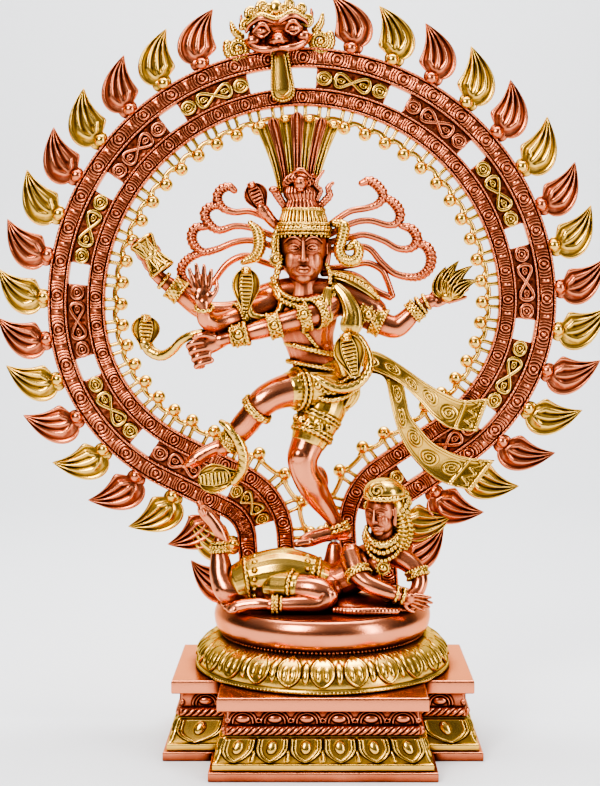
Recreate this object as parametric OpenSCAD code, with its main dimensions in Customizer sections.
// Dancing figure inside a ring of flames, on a stepped pedestal: two-tone cast brass statue.
// Frame: origin at the centre of the pedestal's underside, +Z up, the figure faces -Y.

/* [Pedestal] */
// Width of the foot across its two side wings
foot_w = 209; // [196:1:224]
// Depth of the foot across its front and back projections
foot_d = 192; // [180:1:204]
// Width of the front and back projections
projection_w = 144; // [130:1:156]
// Depth of the side wings
wing_d = 110; // [96:1:124]
// Radius of the lotus base at its beaded rim
lotus_r = 86.5; // [82:0.5:90]
// Radius of the round dais at its widest
dais_r = 73.5; // [72:0.5:76]
// Thickness of the hollow castings
wall = 5; // [4:0.5:7]

/* [Arch] */
// Radius of the inner band's centreline over the top
arch_r = 142; // [138:1:146]
// Distance of the arch's plane behind the pedestal's centre
arch_y = 35; // [30:1:38]
// Lean of the hand-set arch towards the drum side, in degrees
arch_lean = 2.5; // [0:0.5:4]
// Width of each band
band_w = 13.5; // [11:0.5:14]
// Clear gap between the two bands
band_gap = 13; // [12:0.5:15]
// Flames on each side
flames_per_side = 17; // [13:1:18]
// Length of a flame from its ball to its tip
flame_len = 34; // [28:1:36]
// Fringe beads on each side
beads_per_side = 26; // [18:1:28]

/* [Figure] */
// Thickness of the arms at the upper arm
arm_r = 8.5; // [7:0.25:9.5]
// Thickness of the thighs
thigh_r = 13.5; // [11:0.25:14.5]
// Radius of a hair lock's rod
lock_r = 2.1; // [1.6:0.1:2.6]
// Radius of a serpent's body
serpent_r = 2.6; // [2:0.1:3]

/* [Hidden] */
copper = "#b5654a";
brass = "#c8a850";
steel = "#9a9a9a";

// Courses of the plinth, from the floor up
foot_h = 6;
petal_h = 20.5;
rope_h = 7;
frieze_h = 9.5;
cap_h = 9;
petal_z = foot_h;
rope_z = petal_z + petal_h;
frieze_z = rope_z + rope_h;
cap_z = frieze_z + frieze_h;
plinth_h = cap_z + cap_h;
foot_inset = 0;
petal_inset_low = 2.5;
petal_inset_high = 10;
rope_inset = 8.5;
frieze_inset = 10.5;
cap_inset = 5.5;
core_inset = 16;

// Round base
lotus_h = 22;
dais_z = plinth_h + lotus_h;
dais_h = 22;
dais_top = dais_z + dais_h;
bolt_r = 4;
bolt_clearance = 0.3;
stud_at = [8, -8];
stud_r = 2.5;

// Arch path: quarter arc, tighter side arc, straight, reverse arc, leg
side_r = 103.5;
side_turn = 60;
slope_len = 50;
neck_r = 52;
arch_z = 297;
arch_x = -3;
band_t = 7;
socket_depth = 8;
outer_off = band_w + band_gap;
bead_r = 3.7;
post_len = 7.5;
arc_a = arch_r * PI / 2;
arc_b = side_r * side_turn * PI / 180;
arc_d = neck_r * side_turn * PI / 180;
side_end = [-(arch_r - side_r) - side_r * sin(90 + side_turn), side_r * cos(90 + side_turn)];
slope_end = side_end + slope_len * [-cos(90 + side_turn), -sin(90 + side_turn)];
neck_centre = slope_end + neck_r * [-sin(90 + side_turn), cos(90 + side_turn)];
leg_top = neck_centre - neck_r * [-1, 0];
leg_len = arch_z + leg_top[1] - (dais_top - socket_depth);
path_len = arc_a + arc_b + slope_len + arc_d + leg_len;
ball_r = 5.3;
ball_off = outer_off + band_w / 2 + 2.5;
// The hand-set flames start nearer the crest on the right than on the left
first_flame = [59, 46];
flame_pitch = 29.4;
flame_sway = 28;

// ---------- vectors, splines and sweeps ----------

function unit(v) = v / norm(v);
function xyz(p) = [p[0], p[1], p[2]];

// Catmull-Rom point between b and c. Works on vectors of any length, so a radius can ride along.
function spline(a, b, c, d, t) =
  0.5 * (2 * b + (c - a) * t + (2 * a - 5 * b + 4 * c - d) * t * t + (3 * b - a - 3 * c + d) * t * t * t);
function smooth(pts, k) = [
  for (i = [0 : len(pts) - 2])
    for (j = [0 : k - 1])
      spline(pts[max(i - 1, 0)], pts[i], pts[i + 1], pts[min(i + 2, len(pts) - 1)], j / k),
  pts[len(pts) - 1]
];
function heading(q, i) = unit(xyz(q[min(i + 1, len(q) - 1)]) - xyz(q[max(i - 1, 0)]));
function ring(c, t, r, sides, flat, ref) =
  let (b = unit(cross(t, ref)), m = cross(b, t))
  [for (j = [0 : sides - 1]) c + r * cos(360 * j / sides) * b + r * flat * sin(360 * j / sides) * m];

// A round-ended rod through pts, each [x, y, z, radius]. flat is its depth over its width.
module tube(pts, k = 2, sides = 6, flat = 1, ref = [0, 1, 0]) {
  q = smooth(pts, k);
  last = len(q) - 1;
  head = heading(q, 0);
  tail = heading(q, last);
  rings = concat(
    [ring(xyz(q[0]) - 0.7 * q[0][3] * head, head, 0.7 * q[0][3], sides, flat, ref)],
    [for (i = [0 : last]) ring(xyz(q[i]), heading(q, i), q[i][3], sides, flat, ref)],
    [ring(xyz(q[last]) + 0.7 * q[last][3] * tail, tail, 0.7 * q[last][3], sides, flat, ref)]
  );
  n = len(rings);
  points = concat(
    [for (r = rings) each r],
    [xyz(q[0]) - q[0][3] * head, xyz(q[last]) + q[last][3] * tail]
  );
  sides_faces = [
    for (i = [0 : n - 2])
      for (j = [0 : sides - 1])
        let (a = i * sides + j, b = i * sides + (j + 1) % sides)
        each [[a, b, a + sides], [b, b + sides, a + sides]]
  ];
  cap_faces = [
    for (j = [0 : sides - 1])
      each [[j, n * sides, (j + 1) % sides],
            [(n - 1) * sides + (j + 1) % sides, n * sides + 1, (n - 1) * sides + j]]
  ];
  polyhedron(points, concat(sides_faces, cap_faces), convexity = 6);
}

// Overlapping forms cast in one pour: a single closed skin over all of them
module cast() resize([0, 0, 0]) union() children();

// An ellipsoid with half-sizes s at c, turned by a
module egg(c, s, a = [0, 0, 0], fn = 12) {
  translate(c) rotate(a) hull() scale(s) sphere(1, $fn = fn);
}

// Ring worn on a limb: at c, its axis along the direction d
module bangle(c, d, r, thick, wide) {
  q = [c - wide / 2 * unit(d), c + wide / 2 * unit(d)];
  hull() {
    tube([concat(q[0], r), concat(q[1], r)], 1, 10, 1, abs(unit(d)[1]) > 0.9 ? [1, 0, 0] : [0, 1, 0]);
    tube([concat(c, r + thick), concat(c + 0.01 * unit(d), r + thick)], 1, 10, 1,
         abs(unit(d)[1]) > 0.9 ? [1, 0, 0] : [0, 1, 0]);
  }
}

// Spread hood of a cobra: a shallow cup facing -Y, its middle at c, turned by a in the XZ plane
module hood(c, w, h, a = 0) {
  translate(c) rotate([0, a, 0]) {
    egg([0, 0, 0], [w / 2, w / 6, h / 2], fn = 14);
    egg([0, -w / 6, h / 2 - w / 8], [w / 6, w / 4, w / 7], fn = 10);
  }
}

// ---------- pedestal ----------

function cross_plan(inset) =
  let (a = foot_w / 2 - inset, b = wing_d / 2 - inset, c = projection_w / 2 - inset, d = foot_d / 2 - inset)
  [[c, -d], [c, -b], [a, -b], [a, b], [c, b], [c, d], [-c, d], [-c, b], [-a, b], [-a, -b], [-c, -b], [-c, -d]];

module course(z, h, inset, core = core_inset) {
  translate([0, 0, z])
    difference() {
      linear_extrude(h) polygon(cross_plan(inset));
      translate([0, 0, -1]) linear_extrude(h + 2) polygon(cross_plan(core));
    }
}

module foot_slab() color(copper) course(0, foot_h, foot_inset);

module petal_course() color(brass) {
  fillet_h = 5;
  course(petal_z, fillet_h, petal_inset_low);
  steps = 5;
  for (i = [0 : steps - 1])
    course(petal_z + fillet_h + i * (petal_h - fillet_h) / steps, (petal_h - fillet_h) / steps,
           petal_inset_low + 1 + (petal_inset_high - petal_inset_low - 1) * (i + 1) / steps);
}

module rope_moulding() color(copper) course(rope_z, rope_h, rope_inset);

module frieze_course() color(copper) course(frieze_z, frieze_h, frieze_inset);

module cap_slab() color(copper)
  difference() {
    translate([0, 0, cap_z]) linear_extrude(cap_h) polygon(cross_plan(cap_inset));
    translate([0, 0, cap_z - 1]) cylinder(h = cap_h + 2, r = bolt_r + bolt_clearance, $fn = 48);
  }

// Half profile of the lotus base between its rim at the bottom and its neck at the top
function lotus_profile(r0, r1, h) =
  [for (a = [0 : 9 : 90]) [r1 + (r0 - r1) * cos(a), h * sin(a)]];

module lotus_base() color(brass) {
  rim = 3;
  neck_r = 67;
  translate([0, 0, plinth_h])
    rotate_extrude($fn = 96)
      polygon(concat(
        [[bolt_r + bolt_clearance, lotus_h - wall], [neck_r - 2 * wall, lotus_h - wall], [lotus_r - 2 * wall, 0]],
        [[lotus_r, 0], [lotus_r, rim]],
        [for (p = lotus_profile(lotus_r - 1, neck_r, lotus_h - rim)) [p[0], p[1] + rim]],
        [[bolt_r + bolt_clearance, lotus_h]]
      ));
}

// The arch's plane: its path is drawn in X and Z about the ring's centre
module in_arch() {
  translate([arch_x, arch_y, dais_top])
    rotate([0, -arch_lean, 0])
      translate([0, 0, arch_z - dais_top])
        children();
}

module leg_sockets() {
  slack = 0.2;
  in_arch()
    for (side = [-1, 1], off = [0, outer_off])
      translate([side * (-leg_top[0] + off), 0, leg_top[1] - leg_len / 2 - slack])
        cube([band_w + 2 * slack, band_t + 2 * slack, leg_len], center = true);
}

module dais() color(copper) {
  bulge = [for (a = [-60 : 12 : 48]) [dais_r - 12 + 12 * cos(a), 12 + 11 * sin(a) / sin(60)]];
  boss_r = 14;
  difference() {
    translate([0, 0, dais_z])
      rotate_extrude($fn = 96)
        polygon(concat(
          [[0, dais_h - wall - 6], [boss_r, dais_h - wall - 6], [boss_r, dais_h - wall - 3]],
          [[dais_r - 12, dais_h - wall - 3], [dais_r - 12, 0]],
          [[dais_r - 7.5, 0]], bulge, [[dais_r - 5.5, dais_h], [0, dais_h]]
        ));
    translate([0, 0, dais_z]) cylinder(h = dais_h - wall, r = bolt_r, $fn = 48);
    translate([stud_at[0], stud_at[1], dais_z]) cylinder(h = dais_h + 1, r = stud_r + 0.1, $fn = 32);
    leg_sockets();
  }
}

module pedestal_bolt() color(steel) {
  head_h = 5.3;
  translate([0, 0, cap_z - 2 - head_h]) cylinder(h = head_h, r = 7.5, $fn = 6);
  translate([0, 0, cap_z - 2]) cylinder(h = dais_top - wall - 1 - cap_z + 2, r = bolt_r - 0.1, $fn = 48);
}

module pedestal_washer() color(steel)
  translate([0, 0, cap_z - 2])
    difference() {
      cylinder(h = 2, r = 12, $fn = 48);
      translate([0, 0, -1]) cylinder(h = 4, r = bolt_r + bolt_clearance, $fn = 48);
    }

// ---------- the dwarf underfoot ----------

module dwarf_body() color(copper) cast() difference() {
  union() {
    // trunk, propped on the elbows
    tube([[-44, -24, 112, 13], [-24, -24, 115, 14], [-6, -24, 112, 11.5], [12, -25, 113, 12],
          [28, -25, 124, 13], [37, -25, 134, 10], [39, -26, 143, 6]], 2, 8, 1);
    // raised leg and its foot
    tube([[-42, -22, 108, 10], [-56, -26, 106, 9], [-64, -26, 107, 9], [-67, -22, 121, 6.5],
          [-69, -20, 136, 4.2], [-67, -20, 141, 4.6], [-73, -20, 152, 4], [-79, -20, 164, 2.4]], 2, 7);
    // folded leg and its foot
    tube([[-26, -34, 110, 9], [-8, -42, 111, 9], [3, -44, 107, 8], [-2, -46, 102, 6],
          [-18, -48, 101.5, 5], [-33, -48, 102, 4], [-46, -48, 100.5, 4], [-60, -46, 99, 2.6]], 2, 7);
    // arms, crossed in front
    tube([[19, -32, 132, 7], [23, -40, 122, 6.5], [31, -46, 115, 5.5], [44, -48, 110, 4.6],
          [56, -46, 106, 4.2], [64, -40, 104, 3]], 2, 7);
    tube([[48, -26, 131, 7], [60, -30, 124, 6], [65, -34, 116, 5], [60, -38, 108, 4.5]], 2, 7);
    // ground that the trunk rests on
    egg([30, -32, 100], [32, 18, 9]);
    egg([-20, -24, 99], [46, 16, 9]);
    tube([[8, -48, 100, 3], [20, -54, 100, 3.4], [34, -52, 100, 3.4], [48, -50, 100, 3]], 2, 6);
  }
  translate([0, 0, dais_top - 20]) cube([200, 200, 40], center = true);
}

module dwarf_head() color(copper) cast() {
  egg([40, -30, 155], [11.5, 12.5, 14.5], [0, 4, 0]);
  egg([36, -41, 153], [1.8, 3, 3.4], fn = 10);
  tube([[40, -27, 138, 6], [40, -28, 146, 6.5]], 2, 9);
}

module dwarf_wig() color(brass) cast() difference() {
  union() {
    egg([43, -26, 160], [15.5, 14, 16]);
    tube([[53, -24, 160, 5.5], [56, -25, 148, 5], [53, -26, 138, 4.4], [50, -26, 130, 2.6]], 2, 6);
    tube([[29, -26, 152, 2.2], [27, -27, 144, 2.4], [29, -27, 137, 1.8]], 2, 7);
  }
  egg([39, -33, 153], [12.2, 14, 15.4]);
  egg([36, -44, 146], [9, 8, 8]);
}

module dwarf_shorts() color(brass) cast() {
  tube([[-49, -24, 114, 14], [-38, -24, 117, 15.6], [-22, -24, 119, 16.6], [-9, -24, 117.5, 14.6],
        [-2, -24, 116.5, 12.5]], 2, 10);
  tube([[-30, -34, 111, 10.5], [-20, -38, 111.5, 10.4]], 2, 10);
}

module dwarf_collar() color(brass) cast() {
  tube([[30, -32, 140, 2.4], [33, -38, 135, 3.4], [39, -40, 132, 3.8], [46, -37, 135, 3.4], [50, -30, 140, 2.4]],
       2, 7, 1.4);
  egg([40, -39, 126], [6, 3, 6]);
}

module dwarf_bangles() color(brass) cast() {
  bangle([-68.4, -20.5, 133], [-2, 1, 14], 4.8, 1.2, 4);
  bangle([-30, -48, 102], [-1, 0, 0], 4.4, 1.2, 4);
  bangle([24, -41, 121], [4, -6, -8], 6.4, 1.2, 5);
  bangle([53, -46.5, 107], [12, 1, -4], 4.6, 1.2, 4);
  bangle([63.5, -34, 117.5], [4, -4, -8], 5.4, 1.2, 4);
}

// ---------- the dancer ----------

module torso() color(copper) cast() {
  tube([[4, 0, 238, 17], [1, 0, 249, 17.5], [-6, -2, 262, 15.8], [-9, -3, 274, 17], [-10, -3, 287, 22],
        [-11, -1, 298, 22], [-11.5, 0, 304, 15], [-12, 0, 311, 8.5]], 2, 14, 0.66);
  tube([[-33, -1, 298, 7.5], [-22, -2, 299, 9], [0, -2, 299, 9], [13, -1, 298, 7.5]], 2, 10, 0.8, [0, 1, 0]);
  egg([-10, -10, 290], [18, 6, 8], fn = 14);
  egg([4, 2, 238], [19, 13, 14], fn = 14);
}

module standing_leg() color(copper) cast() difference() {
  union() {
    tube([[3, 0, 236, thigh_r + 0.5], [-1, -4, 224, thigh_r], [-8, -8, 210, 11.8], [-12.5, -11, 199, 10.8],
          [-10, -10, 187, 10], [-4, -6, 174, 9.4], [4, -4, 160, 6.8], [10, -4, 150, 5.2], [12, -5, 143, 5.4]],
         2, 10);
    tube([[15, -5, 140, 5.4], [4, -8, 139.5, 5], [-7, -11, 138.5, 4.6], [-15, -13, 137, 3]], 2, 7, 0.9, [0, 0, 1]);
  }
  translate([stud_at[0], stud_at[1], dais_top]) cylinder(h = dais_top - 55, r = stud_r + 0.1, $fn = 20);
}

module raised_leg() color(copper) cast() {
  tube([[4, 0, 242, thigh_r], [-10, -8, 240, 12.6], [-24, -15, 238.5, 11], [-37, -19, 233.5, 9.6],
        [-43, -19, 226, 9], [-50, -17, 218, 8.6], [-57, -14, 210, 7], [-63.5, -12, 203, 5.8]], 2, 10);
  tube([[-61, -12, 204, 6], [-68, -13, 200, 5.6], [-78, -13, 196, 5.4], [-86, -12, 193, 5], [-91, -11, 191.5, 3]],
       2, 7, 1.2);
}

module figure_stud() color(steel) {
  translate([stud_at[0], stud_at[1], dais_z + 6]) cylinder(h = 58, r = stud_r, $fn = 32);
  translate([stud_at[0], stud_at[1], dais_z + 9.8]) cylinder(h = 4, r = 4.5, $fn = 6);
}

module loincloth() color(brass) cast() {
  egg([3, -1, 238], [21.5, 15.5, 15], fn = 14);
  tube([[2, -2, 234, thigh_r + 2.2], [-3, -5, 222, thigh_r + 1.6], [-9, -9, 209, 13]], 2, 10);
  tube([[0, -5, 241.5, thigh_r + 1.8], [-10, -8, 240.5, thigh_r + 1], [-15, -10, 240, thigh_r + 0.4]], 2, 10);
}

module waist_belts() color(brass) cast() {
  bangle([-8, -2.5, 268], [3, 0, 12], 16.8, 1.2, 4.5);
  bangle([-3, -1, 254], [4, 0, 12], 17.6, 1.4, 5);
  tube([[-4, -14, 300, 1.6], [-1, -15, 288, 1.7], [-4, -14.5, 276, 1.7], [-9, -15, 268, 1.6]], 2, 6);
}

module head() color(copper) cast() {
  egg([-12, -4, 334], [16.2, 15, 22], fn = 16);
  egg([-12, -8, 318], [8.5, 8, 7.5], fn = 14);
  egg([-12, -19.5, 331], [2.3, 3, 6], fn = 10);
  egg([-28.5, -1, 334], [2.2, 4, 6], fn = 10);
  egg([4.5, -1, 334], [2.2, 4, 6], fn = 10);
  tube([[-12, 0, 306, 8.6], [-12, -1, 318, 8.4]], 2, 10);
}

module diadem() color(brass) cast() difference() {
  union() {
    egg([-12, -2, 346], [17.6, 16.4, 14], fn = 14);
    egg([-12, -3, 345], [18.6, 17.6, 3.4], fn = 14);
  }
  egg([-12, -4, 334], [16.2, 15, 22], fn = 16);
  translate([-12, 0, 322]) cube([60, 60, 40], center = true);
}

module crown() color(copper) cast() {
  tube([[-12, 0, 350, 14], [-12, 0, 359, 13], [-13, 0, 367, 12], [-14, 0, 374, 9.5], [-16, 0, 381, 8]], 2, 10);
  tube([[-24, -2, 366, 3.4], [-30, -3, 368, 3], [-34, -3, 373, 2]], 2, 7);
  tube([[-4, -2, 366, 3.4], [3, -3, 370, 3], [6, -3, 375, 2]], 2, 7);
  egg([-15, -9, 376], [5, 4, 5.4], fn = 14);
}

module hair_cobra() color(copper) cast() {
  tube([[-26, -2, 346, 3], [-33, -3, 352, 3.6], [-38, -4, 358, 4]], 2, 6);
  hood([-43, -5, 364], 13, 19, -28);
}

module ear_garland() color(brass) cast() {
  tube([[-28, -7, 345, 2.4], [-31, -8, 338, 3], [-31, -9, 330, 3.4], [-29, -9, 322, 4], [-30, -8, 314, 3.6]], 2, 6);
  tube([[3, -6, 322, 2], [5.5, -7, 315, 2.6], [5, -8, 309, 1.6]], 2, 6);
}

module ear_serpents() color(brass) cast() {
  tube([[-46.5, -5, 349, 2], [-42, -5, 343, 3], [-41, -5, 335, 3], [-45, -5, 328, 2.6], [-52, -5, 325.5, 1.6]], 2, 6);
  tube([[11, -5, 349, 2.6], [15, -5, 345, 3.2], [12, -5, 337, 3], [12, -5, 330, 3], [18, -5, 326, 3],
        [24, -5, 331, 2.8], [22, -5, 337, 2.4], [17, -5, 335, 1.8]], 2, 6);
}

module necklace() color(brass) cast() {
  tube([[-31, -4, 314, 2.4], [-27, -11, 305, 3.2], [-18, -16, 299, 3.8], [-9, -17, 298, 3.8], [1, -14, 302, 3.2],
        [8, -7, 309, 2.4]], 2, 6, 1.2);
}

// Flying locks: rods cast between the head and the curled ends that join them
module hair_locks_left() color(copper) cast() {
  y = 5;
  r = lock_r;
  tube([[-26, y, 350, r], [-40, y, 356, r], [-49, y, 359, r], [-58.5, y, 358.5, r], [-67, y, 362, 1.3 * r],
        [-71, y, 368.5, 1.5 * r], [-68, y, 374, 1.5 * r], [-62, y, 376, 1.3 * r], [-58.5, y, 373.5, r]], 2, 5);
  tube([[-26, y, 340, r], [-40, y, 345.5, r], [-50, y, 348.5, r], [-58.5, y, 349.5, r], [-70, y, 346.5, 1.2 * r],
        [-77, y, 351, 1.5 * r], [-79.5, y, 358, 1.6 * r], [-75.5, y, 362.5, 1.5 * r], [-68, y, 364, r]], 2, 5);
  tube([[-26, y, 333, r], [-40, y, 338, r], [-50, y, 339.5, r], [-59.5, y, 338, r], [-70, y, 333.5, r],
        [-80.5, y, 331.5, 1.2 * r], [-86.5, y, 336, 1.5 * r], [-88.5, y, 343, 1.6 * r], [-85, y, 348.5, 1.5 * r],
        [-77.5, y, 349.5, r]], 2, 5);
  tube([[-26, y, 321, r], [-40.5, y, 325.5, r], [-48.5, y, 329, r], [-56.5, y, 328, r], [-65, y, 322.5, r],
        [-74, y, 311, r]], 2, 5);
  tube([[-79.5, y, 331.5, r], [-89, y, 328, 1.4 * r], [-95, y, 322.5, 1.5 * r], [-95, y, 316, 1.4 * r],
        [-89, y, 308, r]], 2, 5);
}

module hair_locks_right() color(copper) cast() {
  y = 5;
  r = lock_r;
  tube([[0, y, 346, r], [12, y, 354.5, r], [20, y, 359, r], [31, y, 361, r], [39, y, 364, 1.3 * r],
        [42, y, 369.5, 1.5 * r], [38, y, 375.5, 1.6 * r], [32.5, y, 379.5, 1.5 * r], [27, y, 378, r]], 2, 5);
  tube([[0, y, 341, r], [20, y, 350.5, r], [32.5, y, 352.5, r], [44.5, y, 349, r], [52, y, 350.5, 1.3 * r],
        [54, y, 357, 1.6 * r], [50, y, 364, 1.6 * r], [42, y, 370, r]], 2, 5);
  tube([[0, y, 337, r], [20, y, 341.5, r], [29.5, y, 343, r], [42, y, 339, r], [51.5, y, 333.5, r],
        [61.5, y, 333.5, 1.3 * r], [65.5, y, 340, 1.6 * r], [61.5, y, 347, 1.6 * r], [54, y, 349.5, r]], 2, 5);
  tube([[0, y, 332, r], [23, y, 335, r], [32.5, y, 333.5, r], [41, y, 324, r], [50.5, y, 316, r],
        [65, y, 314, 1.4 * r], [73.5, y, 319.5, 1.7 * r], [75.5, y, 328, 1.8 * r], [71.5, y, 335.5, 1.7 * r],
        [64, y, 337.5, r]], 2, 5);
  tube([[0, y, 320, r], [20, y, 322.5, r], [31, y, 324, r], [40.5, y, 319.5, r], [44.5, y, 312, r],
        [48, y, 301, r]], 2, 5);
  tube([[0, y, 317, r], [16, y, 317.5, r], [25.5, y, 314.5, r], [35, y, 306.5, r], [46, y, 301, 1.2 * r]], 2, 5);
}

// Five hoods over the crown, fused into one fan
module serpent_canopy() color(brass) cast() {
  fan = 13;
  for (i = [-2 : 2])
    rotate_about([-16, 0, 376], fan * i / 2)
      tube([[-16, 0.8 * abs(i), 374, 3], [-16 + i, 0.8 * abs(i), 394, 5], [-16 + 1.5 * i, abs(i), 410, 7.5],
            [-16 + 1.5 * i, abs(i) - 2, 419 - abs(i), 5.5]], 2, 7, 0.6);
}

module rotate_about(c, a) {
  translate(c) rotate([0, a, 0]) translate(-c) children();
}

// Open hand: palm at c, four fingers and a thumb fanned in the XZ plane, turned by a
module open_hand(c, a, size = 1) {
  translate(c) rotate([0, a, 0]) scale(size) {
    egg([0, 0, 0], [7, 3.6, 8], fn = 14);
    for (i = [0 : 3])
      tube([[-4.5 + 3 * i, 0, 5, 2], [-5.6 + 3.6 * i, 0, 12, 1.9], [-5.8 + 3.9 * i, 0, 18 - abs(i - 1.4), 1.4]],
           1, 6);
    tube([[5, 0, -3, 2.2], [9.5, 0, 2, 2], [10.5, 0, 7, 1.4]], 1, 6);
  }
}

module drum_arm() color(copper) cast() {
  tube([[-33, 2, 299, 8], [-45, 5, 294, arm_r - 0.7], [-62, 6, 291, 7.2], [-79, 4, 293, 7], [-92, 2, 302, 6.4],
        [-104, 0, 311, 5], [-111, -1, 317, 4.6]], 2, 9);
  tube([[-110, -2, 316, 5], [-116, -3, 322, 5.4], [-121, -3, 332, 5], [-123, -4, 340, 3.4]], 2, 9);
}

module drum() color(brass) {
  tilt = -34;
  translate([-113, -8, 329]) rotate([0, tilt, 0])
    rotate_extrude($fn = 40)
      polygon([[0, -14], [7.6, -14], [8.2, -12], [7.6, -10.5], [3.6, 0], [7.6, 10.5], [8.2, 12], [7.6, 14], [0, 14]]);
}

module blessing_arm() color(copper) cast() {
  tube([[-33, -2, 297, 8], [-46, -7, 291, arm_r - 0.5], [-60, -12, 286, 7.6], [-70, -20, 285, 6.6],
        [-76, -28, 288, 5.4], [-77, -31, 293, 4.6]], 2, 9, 1, [0, 0, 1]);
  open_hand([-77, -32, 301], -6, 0.85);
}

module pointing_arm() color(copper) cast() {
  tube([[12, -3, 297, 8], [5, -12, 292, 8.2], [-6, -18, 288.5, 7.4], [-20, -20, 285, 6.8], [-36, -20, 281, 6.4],
        [-50, -20, 277.5, 5.4], [-60, -20, 275, 4.6], [-68, -20, 273, 6.2], [-76, -20, 270, 7.6],
        [-82, -20, 268, 6]], 2, 9);
  for (i = [0 : 3])
    tube([[-78 + 2 * i, -22, 273 - 4.4 * i, 2.6], [-86 + 2 * i, -23, 272 - 4.6 * i, 2.4],
          [-87 + 2 * i, -19, 269 - 4.4 * i, 2]], 2, 6);
}

module flame_arm() color(copper) cast() {
  tube([[12, -1, 299, 8], [24, -2, 292, arm_r], [37, -3, 285, 7.8], [49, -3, 280.5, 7.6], [58, -4, 288, 6.6],
        [67, -5, 296, 4.6], [72, -5, 299, 4.2]], 2, 9);
  open_hand([80, -6, 301], 68, 0.85);
}

module palm_flame() color(brass) cast() {
  for (i = [-1 : 1])
    tube([[84, -8, 303, 3], [88 + 3 * i, -9, 311 - abs(i), 4], [93 + 5 * i, -9, 319 - 3 * abs(i), 3],
          [96 + 6 * i, -9, 326 - 5 * abs(i), 0.8]], 1, 6);
}

module arm_bangles() color(brass) cast() {
  bangle([-98, 0.5, 306.5], [-12, -1, 9], 6.4, 2, 11);
  bangle([-53, -10, 288], [-14, -5, -5], 8.6, 1.4, 6);
  bangle([-30, -20, 282.3], [-15, 0, -4], 6.8, 1.8, 9);
  bangle([-51, -20, 277.2], [-15, 0, -4], 5.6, 4, 10);
  bangle([-12, -19, 287], [-14, -2, -4], 7.4, 2, 16);
  bangle([33, -3, 287], [12, -1, -7], 8.2, 1.6, 14);
  bangle([64, -5, 294], [9, -1, 8], 5.2, 3.6, 11);
}

module shoulder_serpent() color(brass) cast() {
  hood([-49, -17, 306], 15, 27, 6);
  tube([[-48, -15, 294, 3], [-42, -14, 289, serpent_r], [-34, -12, 289, serpent_r], [-27, -11, 294, serpent_r],
        [-26, -10, 303, serpent_r], [-31, -8, 310, serpent_r]], 2, 6);
}

module shoulder_ribbons() color(brass) cast() {
  tube([[4, -14, 306, 3], [3, -17, 296, 3.6], [3, -18, 288, 3.6]], 2, 6, 0.6);
  tube([[11, -11, 308, 3], [17, -13, 299, 4], [21, -14, 289, 5.5], [20, -14, 283, 6]], 2, 7, 0.4);
  tube([[8, -4, 312, 2.4], [20, -5, 310, 2.8], [31, -5, 305, 3], [37, -4, 298, 2.4]], 2, 6);
}

module hand_serpent() color(brass) cast() {
  tube([[-80, -20, 279, serpent_r], [-92.5, -16, 273.5, serpent_r], [-100, -10, 266, 3], [-108, -4, 262, 3.2],
        [-116, -1, 265.5, 3.4], [-120, 0, 272, 3.6]], 2, 6);
  hood([-119, 0, 280], 20, 25, 8);
}

module waist_serpent() color(brass) cast() {
  tube([[-11, -15, 251, serpent_r], [-1.5, -18, 246.5, 3], [12, -19, 240.5, 3.2], [24.5, -16, 244.5, 3.4],
        [31, -12, 254, 3.4], [29.5, -9, 266, 3.2], [22, -9, 276, 3], [15, -12, 276, 3]], 2, 6);
  hood([18, -16, 263], 18, 30, -22);
}

module ankle_serpent() color(brass) cast() {
  tube([[-66, -16, 218, 2.4], [-60, -19, 213, 3.2], [-54, -20, 205, 3.6], [-52, -19, 194.5, 3.6],
        [-54, -18, 185, 3.4], [-60, -18, 178, 3]], 2, 6);
  egg([-67, -18, 181], [14.5, 5, 9.5], fn = 14);
}

module anklets() color(brass) cast() {
  bangle([-43, -19, 226], [-9, 2, -9], 9.6, 1.8, 4.5);
  bangle([-62, -12.5, 203.5], [-7, -1, -5], 6.4, 2, 6);
  bangle([11, -5, 146], [1.6, -1, -7], 6, 1.4, 5);
}

// Flat ribbon between two edge curves, bowed towards the front by sag
module ribbon(edge_a, edge_b, y0, y1, thick, k = 4) {
  a = smooth(edge_a, k);
  b = smooth(edge_b, k);
  n = len(a);
  depth = function (i) y0 + (y1 - y0) * i / (n - 1);
  points = [
    for (i = [0 : n - 1])
      each [[a[i][0], depth(i), a[i][1]], [b[i][0], depth(i), b[i][1]],
            [b[i][0], depth(i) + thick, b[i][1]], [a[i][0], depth(i) + thick, a[i][1]]]
  ];
  skin = [
    for (i = [0 : n - 2])
      for (j = [0 : 3])
        let (p = 4 * i + j, q = 4 * i + (j + 1) % 4)
        each [[p, p + 4, q], [q, p + 4, q + 4]]
  ];
  polyhedron(points, concat(skin, [[0, 1, 2], [0, 2, 3]],
    [[4 * n - 2, 4 * n - 3, 4 * n - 4], [4 * n - 1, 4 * n - 2, 4 * n - 4]]), convexity = 6);
}

module sash_upper() color(brass)
  ribbon([[20, 268], [39, 263.5], [54.5, 254.5], [70, 243.5], [84.5, 235], [98, 230], [115.5, 231]],
         [[20, 256], [36, 250], [54, 241], [68, 228], [77.5, 216.5], [89, 210.5], [108, 208]], 6, 20, 4);

module sash_lower() color(brass)
  ribbon([[30, 258], [57, 242], [58.5, 231], [60.5, 221], [68, 210.5], [77.5, 200], [91, 193], [119.5, 188.5]],
         [[30, 250], [42.5, 246], [46.5, 231], [49.5, 218], [54, 205], [61, 192], [77, 176], [103, 167.5]],
         11, 16, 4);

// ---------- the arch of flames ----------

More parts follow.
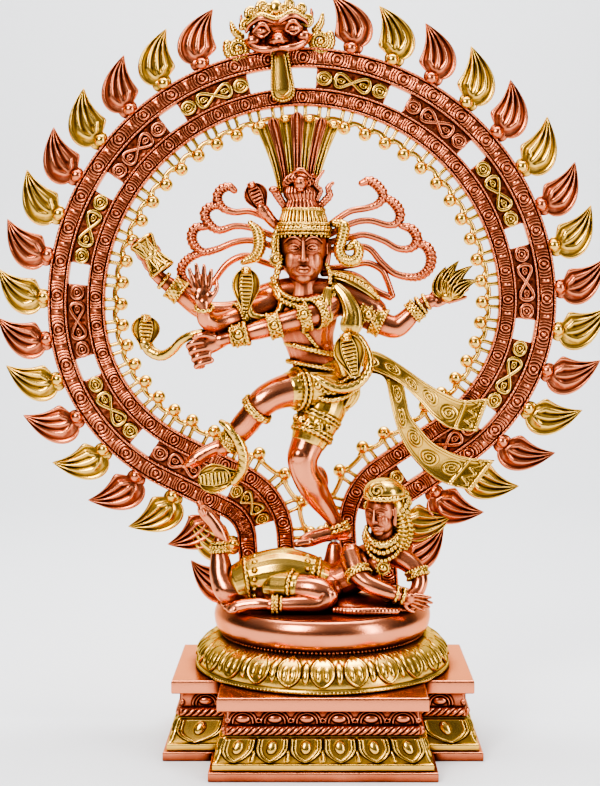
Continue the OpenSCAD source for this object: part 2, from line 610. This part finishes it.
// The left half's centreline at arc length s from the top: [x, z, turn], where turn is the angle
// from +Z towards -X of the outward normal
function arch_at(s) =
  s < arc_a ? let (a = s / arch_r * 180 / PI) [-arch_r * sin(a), arch_r * cos(a), a]
  : s < arc_a + arc_b ? let (a = 90 + (s - arc_a) / side_r * 180 / PI)
      [-(arch_r - side_r) - side_r * sin(a), side_r * cos(a), a]
  : s < arc_a + arc_b + slope_len ? let (u = s - arc_a - arc_b, a = 90 + side_turn)
      [side_end[0] - u * cos(a), side_end[1] - u * sin(a), a]
  : s < arc_a + arc_b + slope_len + arc_d ?
      let (a = 90 + side_turn - (s - arc_a - arc_b - slope_len) / neck_r * 180 / PI)
      [neck_centre[0] + neck_r * sin(a), neck_centre[1] - neck_r * cos(a), a]
  : [leg_top[0], leg_top[1] - (s - arc_a - arc_b - slope_len - arc_d), 90];

// The same, moved outwards by off
function arch_point(s, off) = let (p = arch_at(s)) [p[0] - off * sin(p[2]), p[1] + off * cos(p[2])];

// Arc lengths at which a band's outline has its points
function stations(end) = concat(
  [for (i = [0 : 17]) arc_a * i / 18],
  [for (i = [0 : 9]) arc_a + arc_b * i / 10],
  [arc_a + arc_b],
  [for (i = [0 : 8]) arc_a + arc_b + slope_len + arc_d * i / 8],
  [end]
);

module arch_band(off, w, t, end = path_len) {
  s = stations(end);
  last = len(s) - 1;
  left = function (d) [for (i = [last : -1 : 0]) arch_point(s[i], d)];
  right = function (d) [for (i = [1 : last]) let (p = arch_point(s[i], d)) [-p[0], p[1]]];
  outer = concat(left(off + w / 2), right(off + w / 2));
  inner = concat(left(off - w / 2), right(off - w / 2));
  in_arch()
    rotate([90, 0, 0])
      translate([0, 0, -t / 2])
        linear_extrude(t)
          polygon(concat(outer, [for (i = [len(inner) - 1 : -1 : 0]) inner[i]]));
}

// Puts children at arc length s on the left (side -1) or right (side 1), their +Z along the outward normal
module at_arch(s, off, side) {
  p = arch_at(s);
  q = arch_point(s, off);
  in_arch()
    translate([-side * q[0], 0, q[1]])
      rotate([0, side * p[2], 0])
        children();
}

module arch_inner_band() color(copper) arch_band(0, band_w, band_t);

module arch_outer_band() color(copper) arch_band(outer_off, band_w, band_t);

fringe_pitch = 17.2;
fringe_first = fringe_pitch / 2;
fringe_end = fringe_first + (beads_per_side - 1) * fringe_pitch;

module fringe_rail() color(brass) {
  arch_band(-band_w / 2 - post_len, 2.4, 3, fringe_end);
  for (side = [-1, 1], i = [0 : beads_per_side - 1])
    at_arch(fringe_first + i * fringe_pitch, -band_w / 2 - post_len / 2, side)
      cube([5, 3.6, post_len + 0.4], center = true);
}

module fringe_beads() color(brass)
  for (side = [-1, 1], i = [0 : beads_per_side - 1])
    at_arch(fringe_first + i * fringe_pitch, -band_w / 2 - post_len - 1.2 - bead_r, side)
      sphere(r = bead_r, $fn = 20);

// Roundel, figure of eight, roundel: bridges the gap between the bands
module scroll_link(s, side) {
  mid = outer_off / 2;
  reach = 17;
  for (d = [-reach, reach])
    at_arch(s + d, mid, side)
      rotate([90, 0, 0]) cylinder(h = 5.5, r = band_gap / 2 + 0.1, center = true, $fn = 36);
  at_arch(s, mid, side) rotate([90, 0, 0]) {
    for (x = [-6, 6]) translate([x, 0, 0]) cylinder(h = 5, r = band_gap / 2 - 1.2, center = true, $fn = 36);
    cube([14, 5, 5], center = true);
  }
}

link_first = [47.5, 41.5];
link_pitch = 59.4;
link_count = 7;

module links(parity)
  for (side = [-1, 1], i = [parity : 2 : link_count - 1])
    scroll_link(link_first[side < 0 ? 0 : 1] + i * link_pitch, side);

module scroll_links_brass() color(brass) links(0);

module scroll_links_copper() color(copper) links(1);

// Leaf-shaped flame: a round belly at the ball, drawn out to a tip that sways to one side
function flame_outline(len, w) = let (n = 9) concat(
  [for (i = [0 : n]) let (t = i / n) [w / 2 * sin(180 * pow(t, 0.62)) + 0.22 * w * t * t, len * t]],
  [for (i = [n - 1 : -1 : 1]) let (t = i / n) [-w / 2 * sin(180 * pow(t, 0.62)) + 0.22 * w * t * t, len * t]]
);

// Arc length along the inner band's centreline that faces a point u along the balls' own path
function facing(u) =
  let (a = arc_a * (arch_r + ball_off) / arch_r, b = arc_b * (side_r + ball_off) / side_r,
       c = a + b + slope_len, d = arc_d * (neck_r - ball_off) / neck_r)
  u < a ? u * arch_r / (arch_r + ball_off)
  : u < a + b ? arc_a + (u - a) * side_r / (side_r + ball_off)
  : u < c ? arc_a + arc_b + u - a - b
  : u < c + d ? arc_a + arc_b + slope_len + (u - c) * neck_r / (neck_r - ball_off)
  : arc_a + arc_b + slope_len + arc_d + u - c - d;

module flame(u, side) {
  at_arch(facing(u), ball_off, side)
    rotate([0, -side * flame_sway, 0]) {
      sphere(r = ball_r, $fn = 24);
      translate([0, 2, 2])
        rotate([90, 0, 0])
          linear_extrude(4) scale([-side, 1]) polygon(flame_outline(flame_len, 0.66 * flame_len));
    }
}

module flames(parity)
  for (side = [-1, 1], i = [parity : 2 : flames_per_side - 1])
    flame(first_flame[side < 0 ? 0 : 1] + i * flame_pitch, side);

module flames_copper() color(copper) flames(0);

module flames_brass() color(brass) flames(1);

// Lion mask at the top of the arch, with its mane, side scrolls and tongue
crest_off = outer_off + 15;

module crest_mask() color(copper) cast() at_arch(0, crest_off, -1) {
  egg([0, -4, 2], [23, 9, 12], fn = 14);
  egg([-13, -8, 5], [10, 7, 9], fn = 14);
  egg([13, -8, 5], [10, 7, 9], fn = 14);
  egg([0, -12, -3], [5, 5, 7], fn = 10);
  for (side = [-1, 1])
    tube([[side * 2, -9, -9, 3.4], [side * 12, -9, -10, 3.4], [side * 21, -7, -3, 2.4]], 2, 6);
}

module crest_scrolls() color(brass) cast() at_arch(0, crest_off, -1) {
  for (side = [-1, 1]) {
    translate([side * 29, -1, -6]) rotate([90, 0, 0])
      rotate_extrude($fn = 16) translate([3, -2.5]) square([5.6, 5]);
    tube([[side * 29, -1, 2, 3.2], [side * 32, -1, 9, 2.2], [side * 31, -1, 14, 1]], 2, 7);
    egg([side * 23, -2, 10], [6, 5, 7], fn = 10);
    egg([side * 11, -3, 13], [9, 6, 8], fn = 10);
  }
  egg([0, -4, 14], [9, 7, 9], fn = 14);
}

module crest_tongue() color(brass) cast() at_arch(0, crest_off, -1)
  tube([[0, -7, -14, 5.5], [0, -7, -24, 7], [0, -7, -38, 7.6]], 2, 9, 0.45);

// ---------- assembly ----------

foot_slab();
petal_course();
rope_moulding();
frieze_course();
cap_slab();
lotus_base();
dais();
pedestal_bolt();
pedestal_washer();
dwarf_body();
dwarf_head();
dwarf_wig();
dwarf_shorts();
dwarf_collar();
dwarf_bangles();
torso();
standing_leg();
raised_leg();
loincloth();
waist_belts();
figure_stud();
head();
diadem();
crown();
hair_cobra();
ear_garland();
ear_serpents();
necklace();
hair_locks_left();
hair_locks_right();
serpent_canopy();
drum_arm();
drum();
blessing_arm();
pointing_arm();
flame_arm();
palm_flame();
arm_bangles();
shoulder_serpent();
shoulder_ribbons();
hand_serpent();
waist_serpent();
sash_upper();
sash_lower();
ankle_serpent();
anklets();
arch_inner_band();
arch_outer_band();
fringe_rail();
fringe_beads();
scroll_links_copper();
scroll_links_brass();
flames_copper();
flames_brass();
crest_mask();
crest_scrolls();
crest_tongue();
